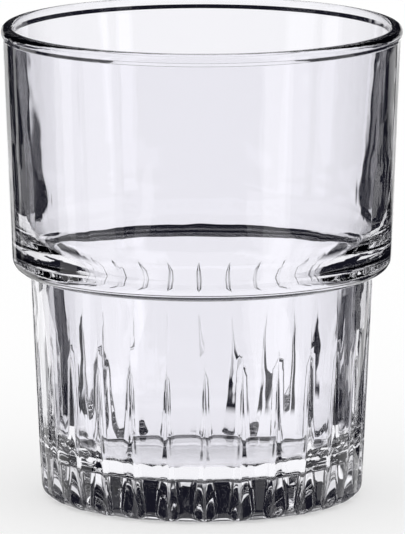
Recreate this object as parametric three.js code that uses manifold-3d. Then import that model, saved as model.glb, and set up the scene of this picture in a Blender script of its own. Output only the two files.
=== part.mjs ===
// A clear pressed-glass stacking tumbler: a plain flared bowl above, a fluted body below, a thick base.
// All sizes are millimetres. +Z is up, the glass's axis is Z and it stands on Z = 0.
import * as THREE from "three";
import { mergeVertices } from "three/addons/utils/BufferGeometryUtils.js";
import ManifoldModule from "manifold-3d";

// Overall form of the outside
const HEIGHT = 94.3;
const RIM_RADIUS = 39.8; // over the bead, the widest place
const BOWL_TOP_RADIUS = 39.4; // plain wall just under the bead
const BOWL_BOTTOM_RADIUS = 37.6; // plain wall carried down to the shoulder's level
const SHOULDER_HEIGHT = 45.2; // underside of the step that hangs over the fluted body
const BODY_TOP_RADIUS = 34.1;
const FOOT_RADIUS = 32.0; // fluted body's wall carried down to the table

// Rim bead and rounded corners of the outside
const BEAD_HEIGHT = 2.5; // from the plain wall's end to the top of the rim
const BEAD_SWELL_HEIGHT = 1.6; // from the bead's full radius to the top of the rim
const BEAD_BLEND_RADIUS = 0.8;
const RIM_ROUNDING_RADIUS = 1.25;
const SHOULDER_RADIUS = 2.95;
const UNDERCUT_RADIUS = 0.5; // inside corner under the shoulder
const HEEL_RADIUS = 2.8;

// Underside: a flat ring to stand on round a shallow recess
const RECESS_DEPTH = 0.5;
const RECESS_RADIUS = 26.2;
const RECESS_SLOPE = 2.0; // radial run of the recess's sloping edge
const RECESS_EDGE_RADIUS = 0.4;
const RECESS_CORNER_RADIUS = 1.5;

// Wall thicknesses and heights that place the inside
const RIM_WALL = 2.5;
const BOWL_WALL = 3.3; // where the inside starts to draw in
const BODY_TOP_WALL = 3.1;
const BODY_FOOT_WALL = 3.0;
const DRAW_IN_TOP_HEIGHT = 53.3; // the inside draws in between these two heights, behind the shoulder
const DRAW_IN_BOTTOM_HEIGHT = 46.4;
const DRAW_IN_TOP_RADIUS = 14.0;
const DRAW_IN_BOTTOM_RADIUS = 5.0;
const BASE_THICKNESS = 7.2;
const FLOOR_CORNER_RADIUS = 9.0;

// Flutes: pointed V grooves that open and deepen from the tip down, and scoop in faster at the heel
const FLUTE_COUNT = 28;
const FLUTE_TIP_HEIGHT = 32.0;
const FLUTE_WIDTH = 5.2; // carried down to the table
const FLUTE_DEPTH = 0.7; // carried down to the table, without the scoop
const SCOOP_HEIGHT = 11.0;
const SCOOP_DEPTH = 1.7; // added to the depth at the table
const FLUTE_STATIONS = 10;
const STATION_CROWDING = 1.7; // above 1 crowds a cutter's sections towards the heel
const CUT_MARGIN = 0.15; // how far a cutter stands clear of the glass it cuts

// Fineness of the curves
const TURN_SEGMENTS = FLUTE_COUNT * 3;
const CURVE_TOLERANCE = 0.04; // how far a rounded corner's chords may stand off the true arc

const { Manifold, Mesh: ManifoldMesh } = await loadManifold();

async function loadManifold() {
  const module = await ManifoldModule();
  module.setup();
  return module;
}

// Radius of the fluted body's wall at a height.
function bodyRadius(height) {
  return THREE.MathUtils.mapLinear(height, 0, SHOULDER_HEIGHT, FOOT_RADIUS, BODY_TOP_RADIUS);
}

// Replaces one corner of a profile by points on the arc that is tangent to both of its sides.
function roundCorner(before, corner, after, radius) {
  const toBefore = before.clone().sub(corner).normalize();
  const toAfter = after.clone().sub(corner).normalize();
  const halfAngle = Math.acos(THREE.MathUtils.clamp(toBefore.dot(toAfter), -1, 1)) / 2;
  const bisector = toBefore.clone().add(toAfter).normalize();
  const centre = corner.clone().addScaledVector(bisector, radius / Math.sin(halfAngle));
  const start = corner.clone().addScaledVector(toBefore, radius / Math.tan(halfAngle));
  const turn = Math.PI - 2 * halfAngle;
  const direction = Math.sign(toAfter.cross(toBefore));
  const steps = Math.ceil(turn / (2 * Math.acos(1 - CURVE_TOLERANCE / radius)));
  const points = [];
  for (let step = 0; step <= steps; step += 1) {
    points.push(start.clone().rotateAround(centre, (direction * turn * step) / steps));
  }
  return points;
}

// Turns a list of corners, each a radius, a height and a rounding, into a smooth profile.
function roundedProfile(corners) {
  const places = corners.map(([radius, height]) => new THREE.Vector2(radius, height));
  return corners.flatMap(([, , rounding], index) => {
    if (!rounding) {
      return [places[index]];
    }
    return roundCorner(places[index - 1], places[index], places[index + 1], rounding);
  });
}

// A closed solid from a geometry, with shared corners merged and empty triangles dropped.
function solidFrom(geometry) {
  const bare = new THREE.BufferGeometry();
  bare.setAttribute("position", geometry.getAttribute("position"));
  bare.setIndex(geometry.getIndex());
  const merged = mergeVertices(bare, 1e-4);
  const triangles = [];
  const index = merged.getIndex().array;
  for (let first = 0; first < index.length; first += 3) {
    const [a, b, c] = index.slice(first, first + 3);
    if (a !== b && b !== c && c !== a) {
      triangles.push(a, b, c);
    }
  }
  return new Manifold(
    new ManifoldMesh({
      numProp: 3,
      vertProperties: merged.getAttribute("position").array,
      triVerts: new Uint32Array(triangles),
    }),
  );
}

// The blank: outside, rim and inside turned about the axis as one closed profile.
function turnedBlank() {
  const profile = roundedProfile([
    [0, RECESS_DEPTH, 0],
    [RECESS_RADIUS - RECESS_SLOPE, RECESS_DEPTH, RECESS_CORNER_RADIUS],
    [RECESS_RADIUS, 0, RECESS_EDGE_RADIUS],
    [FOOT_RADIUS, 0, HEEL_RADIUS],
    [BODY_TOP_RADIUS, SHOULDER_HEIGHT, UNDERCUT_RADIUS],
    [BOWL_BOTTOM_RADIUS, SHOULDER_HEIGHT, SHOULDER_RADIUS],
    [BOWL_TOP_RADIUS, HEIGHT - BEAD_HEIGHT, BEAD_BLEND_RADIUS],
    [RIM_RADIUS, HEIGHT - BEAD_SWELL_HEIGHT, BEAD_BLEND_RADIUS],
    [RIM_RADIUS, HEIGHT, RIM_ROUNDING_RADIUS],
    [RIM_RADIUS - RIM_WALL, HEIGHT, RIM_ROUNDING_RADIUS],
    [BOWL_BOTTOM_RADIUS - BOWL_WALL, DRAW_IN_TOP_HEIGHT, DRAW_IN_TOP_RADIUS],
    [BODY_TOP_RADIUS - BODY_TOP_WALL, DRAW_IN_BOTTOM_HEIGHT, DRAW_IN_BOTTOM_RADIUS],
    [FOOT_RADIUS - BODY_FOOT_WALL, BASE_THICKNESS, FLOOR_CORNER_RADIUS],
    [0, BASE_THICKNESS, 0],
  ]);
  const turned = new THREE.LatheGeometry(profile, TURN_SEGMENTS);
  turned.rotateX(Math.PI / 2);
  return solidFrom(turned);
}

// Depth of a flute's valley under the wall at a height, negative above the tip.
function fluteDepth(height) {
  const scoop = Math.max(0, 1 - height / SCOOP_HEIGHT);
  return FLUTE_DEPTH * (1 - height / FLUTE_TIP_HEIGHT) + SCOOP_DEPTH * scoop * scoop;
}

// Half width of a flute for each millimetre of its depth at a height.
function fluteSpread(height) {
  const plainSpread = FLUTE_WIDTH / 2 / FLUTE_DEPTH;
  if (height >= SCOOP_HEIGHT) {
    return plainSpread;
  }
  return (FLUTE_WIDTH / 2) * (1 - height / FLUTE_TIP_HEIGHT) / fluteDepth(height);
}

// The cutter of one flute: V sections lofted up the wall at +X until they close in a point.
function fluteCutter() {
  const top = FLUTE_TIP_HEIGHT * (1 + CUT_MARGIN / FLUTE_DEPTH);
  const bottom = -CUT_MARGIN;
  const positions = [];
  for (let station = 0; station <= FLUTE_STATIONS; station += 1) {
    const along = (station / FLUTE_STATIONS) ** STATION_CROWDING;
    const height = THREE.MathUtils.lerp(bottom, top, along);
    const wall = bodyRadius(height);
    const depth = fluteDepth(height);
    const halfWidth = (depth + CUT_MARGIN) * fluteSpread(height);
    positions.push(wall - depth, 0, height);
    positions.push(wall + CUT_MARGIN, halfWidth, height);
    positions.push(wall + CUT_MARGIN, -halfWidth, height);
  }
  const triangles = [0, 1, 2];
  for (let station = 0; station < FLUTE_STATIONS; station += 1) {
    for (let side = 0; side < 3; side += 1) {
      const here = station * 3 + side;
      const next = station * 3 + ((side + 1) % 3);
      triangles.push(here, here + 3, next + 3);
      triangles.push(here, next + 3, next);
    }
  }
  const cutter = new THREE.BufferGeometry();
  cutter.setAttribute("position", new THREE.Float32BufferAttribute(positions, 3));
  cutter.setIndex(triangles);
  return solidFrom(cutter);
}

// All the flutes, evenly spaced, with one facing the front at -Y.
function allFlutes() {
  const one = fluteCutter();
  const pitch = 360 / FLUTE_COUNT;
  const copies = [];
  for (let number = 0; number < FLUTE_COUNT; number += 1) {
    copies.push(one.rotate([0, 0, number * pitch - 90]));
  }
  return Manifold.union(copies);
}

// A drawable geometry from a solid.
function geometryFrom(solid) {
  const mesh = solid.getMesh();
  const geometry = new THREE.BufferGeometry();
  geometry.setAttribute("position", new THREE.BufferAttribute(mesh.vertProperties, 3));
  geometry.setIndex(new THREE.BufferAttribute(mesh.triVerts, 1));
  geometry.computeVertexNormals();
  return geometry;
}

const clearGlass = new THREE.MeshStandardMaterial({
  color: 0xe6eeee,
  roughness: 0.05,
  metalness: 0.0,
  transparent: true,
  opacity: 0.35,
});

const tumbler = new THREE.Mesh(geometryFrom(turnedBlank().subtract(allFlutes())), clearGlass);
tumbler.name = "tumbler";

const part = new THREE.Group();
part.name = "stacking_tumbler";
part.add(tumbler);

export default part;
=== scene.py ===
import math

import bpy
import numpy as np
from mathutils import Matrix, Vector


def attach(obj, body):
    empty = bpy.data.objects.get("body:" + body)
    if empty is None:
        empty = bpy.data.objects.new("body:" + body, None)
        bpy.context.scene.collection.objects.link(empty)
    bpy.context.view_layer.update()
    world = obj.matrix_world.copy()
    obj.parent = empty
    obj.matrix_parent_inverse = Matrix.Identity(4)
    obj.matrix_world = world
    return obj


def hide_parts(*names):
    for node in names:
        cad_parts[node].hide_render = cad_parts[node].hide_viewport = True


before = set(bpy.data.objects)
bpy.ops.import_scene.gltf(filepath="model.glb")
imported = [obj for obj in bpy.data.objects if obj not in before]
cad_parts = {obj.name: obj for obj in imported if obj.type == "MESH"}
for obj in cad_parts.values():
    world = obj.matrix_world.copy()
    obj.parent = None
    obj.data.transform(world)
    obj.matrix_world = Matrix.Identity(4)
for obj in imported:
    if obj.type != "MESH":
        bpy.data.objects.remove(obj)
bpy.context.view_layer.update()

# The tumbler
# One body of clear soda-lime glass, pressed in a mould by a plunger, fire-polished and tempered.
# The mould leaves crisp flutes outside and the plunger leaves a faintly rippled wall inside.
# It has no joints: it stands on a flat ring round a shallow recess under its base.
MM = 0.001

# Outside, in millimetres, from the table up
FOOT_RADIUS = 32.0
HEEL_RADIUS = 2.8
RECESS_RADIUS = 26.2
RECESS_SLOPE = 2.0
RECESS_DEPTH = 0.5
RECESS_EDGE_RADIUS = 0.4
RECESS_CORNER_RADIUS = 1.5
BODY_TOP_RADIUS = 34.1
PLAIN_BAND = 1.0  # height just under the shoulder that has no flutes
SHOULDER_HEIGHT = 45.2
UNDERCUT_RADIUS = 0.5
SHOULDER_RADIUS = 2.95
BOWL_BOTTOM_RADIUS = 37.6
BOWL_TOP_RADIUS = 39.4
BEAD_HEIGHT = 2.5
BEAD_SWELL_HEIGHT = 1.6
BEAD_BLEND_RADIUS = 0.8
RIM_RADIUS = 39.8
RIM_ROUNDING_RADIUS = 1.25
HEIGHT = 94.3

# Inside, in millimetres, from the rim down
RIM_WALL = 2.5
BOWL_WALL = 3.3
DRAW_IN_TOP_HEIGHT = 53.3
DRAW_IN_BOTTOM_HEIGHT = 46.4
DRAW_IN_TOP_RADIUS = 14.0
DRAW_IN_BOTTOM_RADIUS = 5.0
BODY_TOP_WALL = 3.1
BODY_FOOT_WALL = 3.0
FLOOR_CORNER_RADIUS = 9.0
BASE_THICKNESS = 7.2

# Flutes, in millimetres: V grooves drawn out to a thorn at the tip, which scoop in at the heel.
# Their tips are thinner than the solid's and run 2 mm higher.
FLUTE_COUNT = 28
FLUTE_TIP_HEIGHT = 34.0
FLUTE_WIDTH = 5.2
FLUTE_DEPTH = 0.7
FLUTE_TAPER = 1.6  # 1 narrows evenly up to the tip, more draws the tip out thinner
THINNEST_FLUTE = 0.12  # least half width, which the mesh keeps above the tip
SCOOP_HEIGHT = 11.0
SCOOP_DEPTH = 1.7
EDGE_POLISH = 0.05  # softness that fire polishing gives the flutes' edges
VALLEY_POLISH = 2 * EDGE_POLISH
POLISH_REACH = 6 * EDGE_POLISH  # beyond this the wall is untouched

# Ripple that the plunger leaves inside, in millimetres
RIPPLE_HEIGHT = 0.04
RIPPLE_WAVES = 8
RIPPLE_COUNTS = (3, 18)  # waves round the wall, from the first number to just under the second
RIPPLE_LEANS = (0.08, 0.35)  # radians for each millimetre of height
TRUE_RIM = 4.0  # height under the rim that has no ripple
RIPPLE_FADE = 10.0  # length over which it dies out towards the rim

# Fineness of the mesh
ARC_STEP = math.radians(7.0)
ROW_SPACING = 2.4
FLUTE_COLUMNS = 6  # across half a flute
PANEL_COLUMNS = 3  # across half the plain strip between two flutes


def rounded_corner(before, corner, after, radius):
    """Points on the arc of that radius that is tangent to both sides of a corner."""
    to_before = (before - corner) / np.linalg.norm(before - corner)
    to_after = (after - corner) / np.linalg.norm(after - corner)
    half_angle = math.acos(np.clip(to_before @ to_after, -1.0, 1.0)) / 2
    bisector = (to_before + to_after) / np.linalg.norm(to_before + to_after)
    centre = corner + bisector * radius / math.sin(half_angle)
    spoke = corner + to_before * radius / math.tan(half_angle) - centre
    turn = math.pi - 2 * half_angle
    direction = np.sign(to_after[0] * to_before[1] - to_after[1] * to_before[0])
    steps = max(3, math.ceil(turn / ARC_STEP))
    points = []
    for angle in np.linspace(0.0, direction * turn, steps + 1):
        turned = (
            spoke[0] * math.cos(angle) - spoke[1] * math.sin(angle),
            spoke[0] * math.sin(angle) + spoke[1] * math.cos(angle),
        )
        points.append(centre + turned)
    return points


def rounded_profile(corners):
    """A profile from corners of (radius, height, rounding), with its long straight runs divided."""
    places = [np.array(corner[:2], float) for corner in corners]
    bends = []
    for number, (_, _, rounding) in enumerate(corners):
        if rounding:
            bends += rounded_corner(places[number - 1], places[number], places[number + 1], rounding)
        else:
            bends.append(places[number])
    profile = [bends[0]]
    for start, end in zip(bends, bends[1:]):
        pieces = max(1, math.ceil(np.linalg.norm(end - start) / ROW_SPACING))
        for piece in range(1, pieces + 1):
            profile.append(start + (end - start) * piece / pieces)
    return np.array(profile)


def body_radius(height):
    """Radius of the fluted body's wall at a height."""
    return FOOT_RADIUS + (BODY_TOP_RADIUS - FOOT_RADIUS) * height / SHOULDER_HEIGHT


def flute_half_width(height):
    """Half width of a flute where it meets the wall at a height."""
    below_tip = max(0.0, 1 - height / FLUTE_TIP_HEIGHT)
    return max(FLUTE_WIDTH / 2 * below_tip ** FLUTE_TAPER, THINNEST_FLUTE)


def flute_depth(height):
    """Depth of a flute's valley under the wall at a height, negative above the tip."""
    scoop = max(0.0, 1 - height / SCOOP_HEIGHT)
    return FLUTE_DEPTH * (1 - height / FLUTE_TIP_HEIGHT) + SCOOP_DEPTH * scoop * scoop


def column_angles(height):
    """Angles of one pitch's columns from the flute's valley, which follow the flute's edges."""
    pitch = 2 * math.pi / FLUTE_COUNT
    edge = math.asin(flute_half_width(height) / body_radius(height))
    flute = np.linspace(0.0, edge, FLUTE_COLUMNS + 1)
    panel = np.linspace(edge, pitch / 2, PANEL_COLUMNS + 1)
    half = np.concatenate([flute, panel[1:]])
    return np.concatenate([half, pitch - half[1:-1][::-1]])


def fluted_radius(radius, height, angles):
    """Radius along one pitch of the outside, with the V groove cut into it and its edges softened."""
    pitch = 2 * math.pi / FLUTE_COUNT
    wall = body_radius(height)
    depth = flute_depth(height)
    from_valley = wall * np.sin(np.minimum(angles, pitch - angles))
    rounded = np.hypot(from_valley, VALLEY_POLISH) - VALLEY_POLISH
    below_wall = depth - rounded * abs(depth) / flute_half_width(height)
    cut = (below_wall + np.hypot(below_wall, EDGE_POLISH)) / 2
    cut[below_wall < -POLISH_REACH] = 0.0
    return np.minimum(radius, wall - cut)


ripple_seed = np.random.RandomState(4)
ripple_waves = [
    (
        ripple_seed.randint(*RIPPLE_COUNTS),
        ripple_seed.uniform(*RIPPLE_LEANS) * ripple_seed.choice([-1, 1]),
        ripple_seed.uniform(0.0, 2 * math.pi),
    )
    for _ in range(RIPPLE_WAVES)
]


def ripple(angles, height):
    """How far the inside wall stands off its true shape, in millimetres."""
    fade = np.clip((HEIGHT - TRUE_RIM - height) / RIPPLE_FADE, 0.0, 1.0)
    total = sum(np.sin(count * angles + lean * height + start) for count, lean, start in ripple_waves)
    return RIPPLE_HEIGHT * fade * total / RIPPLE_WAVES


profile = rounded_profile([
    (0.0, RECESS_DEPTH, 0.0),
    (RECESS_RADIUS - RECESS_SLOPE, RECESS_DEPTH, RECESS_CORNER_RADIUS),
    (RECESS_RADIUS, 0.0, RECESS_EDGE_RADIUS),
    (FOOT_RADIUS, 0.0, HEEL_RADIUS),
    (BODY_TOP_RADIUS, SHOULDER_HEIGHT, UNDERCUT_RADIUS),
    (BOWL_BOTTOM_RADIUS, SHOULDER_HEIGHT, SHOULDER_RADIUS),
    (BOWL_TOP_RADIUS, HEIGHT - BEAD_HEIGHT, BEAD_BLEND_RADIUS),
    (RIM_RADIUS, HEIGHT - BEAD_SWELL_HEIGHT, BEAD_BLEND_RADIUS),
    (RIM_RADIUS, HEIGHT, RIM_ROUNDING_RADIUS),
    (RIM_RADIUS - RIM_WALL, HEIGHT, RIM_ROUNDING_RADIUS),
    (BOWL_BOTTOM_RADIUS - BOWL_WALL, DRAW_IN_TOP_HEIGHT, DRAW_IN_TOP_RADIUS),
    (BODY_TOP_RADIUS - BODY_TOP_WALL, DRAW_IN_BOTTOM_HEIGHT, DRAW_IN_BOTTOM_RADIUS),
    (FOOT_RADIUS - BODY_FOOT_WALL, BASE_THICKNESS, FLOOR_CORNER_RADIUS),
    (0.0, BASE_THICKNESS, 0.0),
])
rows = profile[1:-1]  # the two ends lie on the axis and become single points
rim_row = int(np.argmax(rows[:, 1]))
pitches = np.arange(FLUTE_COUNT) * 2 * math.pi / FLUTE_COUNT

points = []
for number, (radius, height) in enumerate(rows):
    outside = number < rim_row
    past_heel = radius > FOOT_RADIUS - HEEL_RADIUS
    on_body = outside and past_heel and height < SHOULDER_HEIGHT - PLAIN_BAND
    if on_body:
        flute_height = min(height, FLUTE_TIP_HEIGHT)
    elif outside and not past_heel:
        flute_height = 0.0
    else:
        flute_height = FLUTE_TIP_HEIGHT
    in_pitch = column_angles(flute_height)
    angles = (pitches[:, None] + in_pitch[None, :]).ravel()
    if on_body:
        radii = np.tile(fluted_radius(radius, height, in_pitch), FLUTE_COUNT)
    elif outside:
        radii = np.full(len(angles), radius)
    else:
        radii = radius + ripple(angles, height)
    round_axis = angles - math.pi / 2  # the first flute faces the front, at -Y
    points.append(np.column_stack([
        radii * np.cos(round_axis),
        radii * np.sin(round_axis),
        np.full(len(angles), height),
    ]))

columns = len(points[0])
grid = np.arange(len(rows) * columns).reshape(len(rows), columns)
beside = np.roll(grid, -1, axis=1)
faces = np.stack([grid[:-1], beside[:-1], beside[1:], grid[1:]], axis=-1).reshape(-1, 4).tolist()
under_middle = grid.size
floor_middle = grid.size + 1
faces += [[under_middle, beside[0][column], grid[0][column]] for column in range(columns)]
faces += [[floor_middle, grid[-1][column], beside[-1][column]] for column in range(columns)]
middles = np.array([[0.0, 0.0, RECESS_DEPTH], [0.0, 0.0, BASE_THICKNESS]])
vertices = np.concatenate(points + [middles]) * MM

glass_mesh = bpy.data.meshes.new("tumbler_glass")
glass_mesh.from_pydata(vertices.tolist(), [], faces)
glass_mesh.shade_smooth()
glass = bpy.data.objects.new("tumbler_glass", glass_mesh)
bpy.context.scene.collection.objects.link(glass)

# Clear glass with a faint lilac cast. Its fire-polished skin isn't quite flat: it lies in soft waves
# about 9 mm long and 0.01 mm high.
GLASS_TINT = (0.97, 0.966, 1.0)
GLASS_IOR = 1.5
SKIN_WAVES_PER_METRE = 110.0
SKIN_WAVE_HEIGHT = 0.06 * MM  # from the noise's 0 to its 1, which it seldom comes near

clear_glass = bpy.data.materials.new("clear_pressed_glass")
clear_glass.use_nodes = True
glass_tree = clear_glass.node_tree
shader = glass_tree.nodes["Principled BSDF"]
shader.inputs["Base Color"].default_value = (*GLASS_TINT, 1.0)
shader.inputs["Roughness"].default_value = 0.0
shader.inputs["IOR"].default_value = GLASS_IOR
shader.inputs["Transmission Weight"].default_value = 1.0
glass_place = glass_tree.nodes.new("ShaderNodeTexCoord")
skin_waves = glass_tree.nodes.new("ShaderNodeTexNoise")
skin_waves.inputs["Scale"].default_value = SKIN_WAVES_PER_METRE
skin_waves.inputs["Detail"].default_value = 1.0
glass_tree.links.new(glass_place.outputs["Object"], skin_waves.inputs["Vector"])
skin = glass_tree.nodes.new("ShaderNodeBump")
skin.inputs["Strength"].default_value = 1.0
skin.inputs["Distance"].default_value = SKIN_WAVE_HEIGHT
glass_tree.links.new(skin_waves.outputs["Fac"], skin.inputs["Height"])
glass_tree.links.new(skin.outputs["Normal"], shader.inputs["Normal"])
glass_mesh.materials.append(clear_glass)

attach(glass, "root")
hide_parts("tumbler")

# The table
# A plain matt white sheet that the glass stands on, wide enough to run out of sight.
# The lens and the soft light see it, so it keeps the shadow. The glass looks past it at the studio.
TABLE_RADIUS = 3000.0
TABLE_HEIGHT = -0.2  # just under the ring that the glass stands on
PAPER_WHITE = (0.5, 0.5, 0.5)  # once as lit paper and once as glow, which together come out white


def flat_sheet(name, outlines, height, material):
    """A stage object of flat polygons, given as lists of x, y in millimetres."""
    mesh = bpy.data.meshes.new(name)
    corners = []
    polygons = []
    for outline in outlines:
        polygons.append(list(range(len(corners), len(corners) + len(outline))))
        corners += [(x * MM, y * MM, height * MM) for x, y in outline]
    mesh.from_pydata(corners, [], polygons)
    mesh.materials.append(material)
    sheet = bpy.data.objects.new(name, mesh)
    bpy.context.scene.collection.objects.link(sheet)
    return sheet


def disc(radius, corners=96):
    """The outline of a round sheet."""
    turns = [2 * math.pi * corner / corners for corner in range(corners)]
    return [(radius * math.cos(turn), radius * math.sin(turn)) for turn in turns]


def plain_material(name, shader_kind, colour):
    """A stage material of one shader in one colour."""
    material = bpy.data.materials.new(name)
    material.use_nodes = True
    tree = material.node_tree
    tree.nodes.clear()
    face = tree.nodes.new(shader_kind)
    face.inputs["Color"].default_value = (*colour, 1.0)
    output = tree.nodes.new("ShaderNodeOutputMaterial")
    tree.links.new(face.outputs[0], output.inputs["Surface"])
    return material


white_paper = plain_material("white_paper", "ShaderNodeBsdfDiffuse", PAPER_WHITE)
paper_tree = white_paper.node_tree
paper_glow = paper_tree.nodes.new("ShaderNodeEmission")
paper_glow.inputs["Color"].default_value = (*PAPER_WHITE, 1.0)
paper_sum = paper_tree.nodes.new("ShaderNodeAddShader")
paper_tree.links.new(paper_tree.nodes["Diffuse BSDF"].outputs[0], paper_sum.inputs[0])
paper_tree.links.new(paper_glow.outputs[0], paper_sum.inputs[1])
paper_tree.links.new(paper_sum.outputs[0], paper_tree.nodes["Material Output"].inputs["Surface"])
table = flat_sheet("table_sheet", [disc(TABLE_RADIUS)], TABLE_HEIGHT, white_paper)
table.visible_glossy = False
table.visible_transmission = False

# The white cards
# Sheets of white card that lie on the table beside and behind the glass, and that only the glass sees.
# They brighten the outer edges of the fluted body and the heel, and leave a dark band inside each edge.
CARD_HEIGHT = -0.1
LEFT_CARD = [
    (-36.0, 26.0),
    (-54.0, 58.0),
    (-96.0, 200.0),
    (-165.0, 160.0),
    (-128.0, 60.0),
    (-85.0, 50.0),
    (-60.0, 24.0),
]
RIGHT_CARD = [
    (92.0, 52.0),
    (98.0, 85.0),
    (102.0, 120.0),
    (108.0, 200.0),
    (128.0, 200.0),
    (130.0, 120.0),
    (120.0, 52.0),
]
FOOT_CARD = [(33.0, -4.0), (32.0, 24.0), (58.0, 24.0), (84.0, 18.0), (84.0, 0.0)]


def mirrored(outline):
    """The same card on the other side of the glass."""
    return [(-x, y) for x, y in outline]


def half_turned(outline):
    """The same card for the view from behind."""
    return [(-x, -y) for x, y in outline]


white_card = plain_material("white_card", "ShaderNodeEmission", (1.0, 1.0, 1.0))
card_outlines = [LEFT_CARD, RIGHT_CARD, FOOT_CARD, mirrored(FOOT_CARD)]
card_outlines += [half_turned(outline) for outline in card_outlines]
white_cards = flat_sheet("white_cards", card_outlines, CARD_HEIGHT, white_card)
white_cards.visible_camera = False
white_cards.visible_diffuse = False
white_cards.visible_shadow = False

# The studio
# Even soft light from all round. What the glass itself mirrors and bends is a dark room with a light table
# below, lamps, a white background for each side that it is seen from, and black cards beside those.
# The black cards draw the dark lines along the glass's edges.
EDGE_BLUR = 1.5  # width of the soft step at a lamp's or a card's edge, in degrees
DARK_ROOM = (0.009, 0.009, 0.0155)  # a cool cast in the shadows

studio = bpy.data.worlds.new("glass_studio")
bpy.context.scene.world = studio
studio.use_nodes = True
studio_tree = studio.node_tree
studio_tree.nodes.clear()


def arithmetic(operation, first, second=None):
    """One sum on numbers or on other sums' results."""
    node = studio_tree.nodes.new("ShaderNodeMath")
    node.operation = operation
    for socket, value in zip(node.inputs, (first, second)):
        if isinstance(value, (int, float)):
            socket.default_value = value
        elif value is not None:
            studio_tree.links.new(value, socket)
    return node.outputs[0]


def rise(angle, edge, blur=EDGE_BLUR):
    """0 below the edge and 1 above it, with a soft step as wide as blur, in degrees."""
    node = studio_tree.nodes.new("ShaderNodeMapRange")
    node.interpolation_type = "SMOOTHSTEP"
    studio_tree.links.new(angle, node.inputs["Value"])
    node.inputs["From Min"].default_value = edge - blur / 2
    node.inputs["From Max"].default_value = edge + blur / 2
    return node.outputs["Result"]


def fall(angle, edge, blur=EDGE_BLUR):
    """1 below the edge and 0 above it."""
    return arithmetic("SUBTRACT", 1.0, rise(angle, edge, blur))


def between(angle, low, high, blur=EDGE_BLUR):
    """1 from low to high and 0 outside them."""
    return arithmetic("MULTIPLY", rise(angle, low, blur), fall(angle, high, blur))


def all_of(*values):
    """The product of several fields, which is 1 only where all of them are."""
    product = values[0]
    for value in values[1:]:
        product = arithmetic("MULTIPLY", product, value)
    return product


def brightest(*values):
    """The greatest of several fields at each place."""
    result = values[0]
    for value in values[1:]:
        result = arithmetic("MAXIMUM", result, value)
    return result


direction = studio_tree.nodes.new("ShaderNodeTexCoord")
axes = studio_tree.nodes.new("ShaderNodeSeparateXYZ")
studio_tree.links.new(direction.outputs["Generated"], axes.inputs["Vector"])
bearing = arithmetic("DEGREES", arithmetic("ARCTAN2", axes.outputs["X"], axes.outputs["Y"]))  # 0 is +Y
tilt = arithmetic("DEGREES", arithmetic("ARCSINE", axes.outputs["Z"]))
to_side = arithmetic("ABSOLUTE", bearing)


def lamp(across, span, tilts, light, blur=EDGE_BLUR):
    """A lit field of the surroundings, in degrees: its span across, its tilts, and its light."""
    field = all_of(between(across, *span), between(tilt, *tilts, blur))
    return arithmetic("MULTIPLY", field, light)


# The light table's white reaches highest straight behind the glass.
LIGHT_TABLE_TILT = -34.0
LIGHT_TABLE_TILT_BEHIND = -23.0
LIGHT_TABLE_BEHIND = (-32.0, 30.0)

# Two softboxes beside the camera draw the long streaks on the bowl. Strips and a side glow light its edges.
# The fluted body is seen at a steeper tilt, so it looks under the lamps that end at its tilt.
BODY_TILT = -10.3
BODY_BLUR = 0.6

lit = brightest(
    fall(tilt, LIGHT_TABLE_TILT),
    all_of(fall(tilt, LIGHT_TABLE_TILT_BEHIND), between(bearing, *LIGHT_TABLE_BEHIND)),
    lamp(bearing, span=(-125.0, -102.0), tilts=(-25.0, 6.0), light=0.75),
    lamp(bearing, span=(115.0, 137.0), tilts=(-12.5, 6.0), light=1.2),
    lamp(bearing, span=(-40.0, -15.0), tilts=(-11.5, 0.0), light=1.0),
    lamp(bearing, span=(24.0, 40.0), tilts=(BODY_TILT, 0.0), light=0.8, blur=BODY_BLUR),
    lamp(to_side, span=(66.0, 92.0), tilts=(BODY_TILT, 12.0), light=0.25, blur=BODY_BLUR),
)

# A white background stands behind the glass for each view, with a black card at either side: bearing,
# half width, lowest and highest tilt of the background. Two pale wings widen the front one for the bowl.
BACKGROUNDS = (
    (1.2, 11.5, -75.0, -2.2),
    (-45.0, 9.0, -30.0, -23.0),
    (-90.0, 7.0, -23.0, -1.5),
    (135.0, 9.0, -24.0, -11.5),
)
LEFT_BLACK_WIDTH = 6.0
RIGHT_BLACK_WIDTH = 13.0
BLACK_TILTS = (-25.0, 40.0)
BLACK_BLUR = 9.0  # the black cards' ends run out softly

backgrounds = lamp(to_side, span=(8.0, 24.0), tilts=(BODY_TILT, 4.0), light=0.8, blur=BODY_BLUR)
black_cards = 0.0
for middle, half_width, lowest, highest in BACKGROUNDS:
    left_end = middle - half_width
    right_end = middle + half_width
    left_black = between(bearing, left_end - LEFT_BLACK_WIDTH, left_end)
    right_black = between(bearing, right_end, right_end + RIGHT_BLACK_WIDTH)
    black_cards = brightest(left_black, right_black, black_cards)
    panel = lamp(bearing, span=(left_end, right_end), tilts=(lowest, highest), light=1.0)
    backgrounds = brightest(backgrounds, panel)
black_cards = all_of(black_cards, between(tilt, *BLACK_TILTS, BLACK_BLUR))
seen_by_glass = brightest(all_of(lit, arithmetic("SUBTRACT", 1.0, black_cards)), backgrounds)

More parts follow.
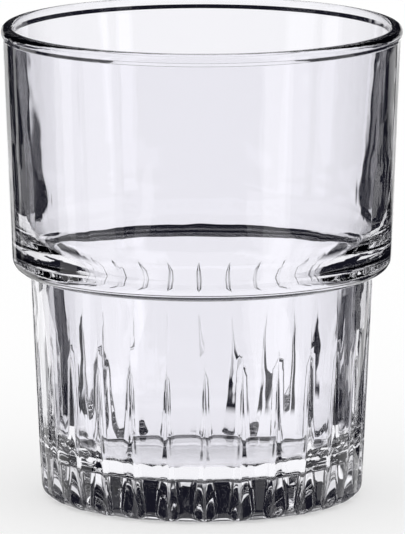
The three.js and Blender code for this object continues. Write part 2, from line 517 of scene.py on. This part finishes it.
rays = studio_tree.nodes.new("ShaderNodeLightPath")
by_glass = arithmetic("MAXIMUM", rays.outputs["Is Glossy Ray"], rays.outputs["Is Transmission Ray"])
brightness = studio_tree.nodes.new("ShaderNodeMix")
studio_tree.links.new(by_glass, brightness.inputs["Factor"])
brightness.inputs["A"].default_value = 1.0
studio_tree.links.new(seen_by_glass, brightness.inputs["B"])
white_light = studio_tree.nodes.new("ShaderNodeBackground")
studio_tree.links.new(brightness.outputs["Result"], white_light.inputs["Strength"])
white_light.inputs["Color"].default_value = (1.0, 1.0, 1.0, 1.0)
dark_room = studio_tree.nodes.new("ShaderNodeBackground")
dark_room.inputs["Color"].default_value = (*DARK_ROOM, 1.0)
studio_tree.links.new(by_glass, dark_room.inputs["Strength"])
all_light = studio_tree.nodes.new("ShaderNodeAddShader")
studio_tree.links.new(white_light.outputs["Background"], all_light.inputs[0])
studio_tree.links.new(dark_room.outputs["Background"], all_light.inputs[1])
studio_out = studio_tree.nodes.new("ShaderNodeOutputWorld")
studio_tree.links.new(all_light.outputs["Shader"], studio_out.inputs["Surface"])

# Light that reaches the lens through four walls of glass needs more turns than the usual twelve.
bpy.context.scene.cycles.max_bounces = 24
bpy.context.scene.cycles.transmission_bounces = 24
bpy.context.scene.cycles.glossy_bounces = 12
bpy.context.scene.view_settings.view_transform = "Standard"

# The camera
# A long lens a little above the rim, as in the photograph, so that the glass's sides stay nearly upright.
# It stands a degree to the left of the front flute, which shows just right of the middle.
CAMERA_DISTANCE = 1.6  # metres
CAMERA_RISE = 0.1485  # height above the rim for each metre of distance
CAMERA_TURN = math.radians(1.0)
AIM_SIDE = 0.00014  # metres
AIM_HEIGHT = 0.0456  # metres
PHOTO_HEIGHT = 534  # pixels
PIXELS_PER_MM = 5.029

lens = bpy.data.cameras.new("photo_lens")
camera = bpy.data.objects.new("photo_camera", lens)
bpy.context.scene.collection.objects.link(camera)
bpy.context.scene.camera = camera
aim = Vector((AIM_SIDE, 0.0, AIM_HEIGHT))
camera.location = (
    AIM_SIDE - CAMERA_DISTANCE * math.sin(CAMERA_TURN),
    -CAMERA_DISTANCE * math.cos(CAMERA_TURN),
    HEIGHT * MM + CAMERA_DISTANCE * CAMERA_RISE,
)
to_aim = aim - camera.location
camera.rotation_euler = to_aim.to_track_quat("-Z", "Y").to_euler()
lens.sensor_width = 36.0
lens.lens = lens.sensor_width * PIXELS_PER_MM * (to_aim.length / MM) / PHOTO_HEIGHT
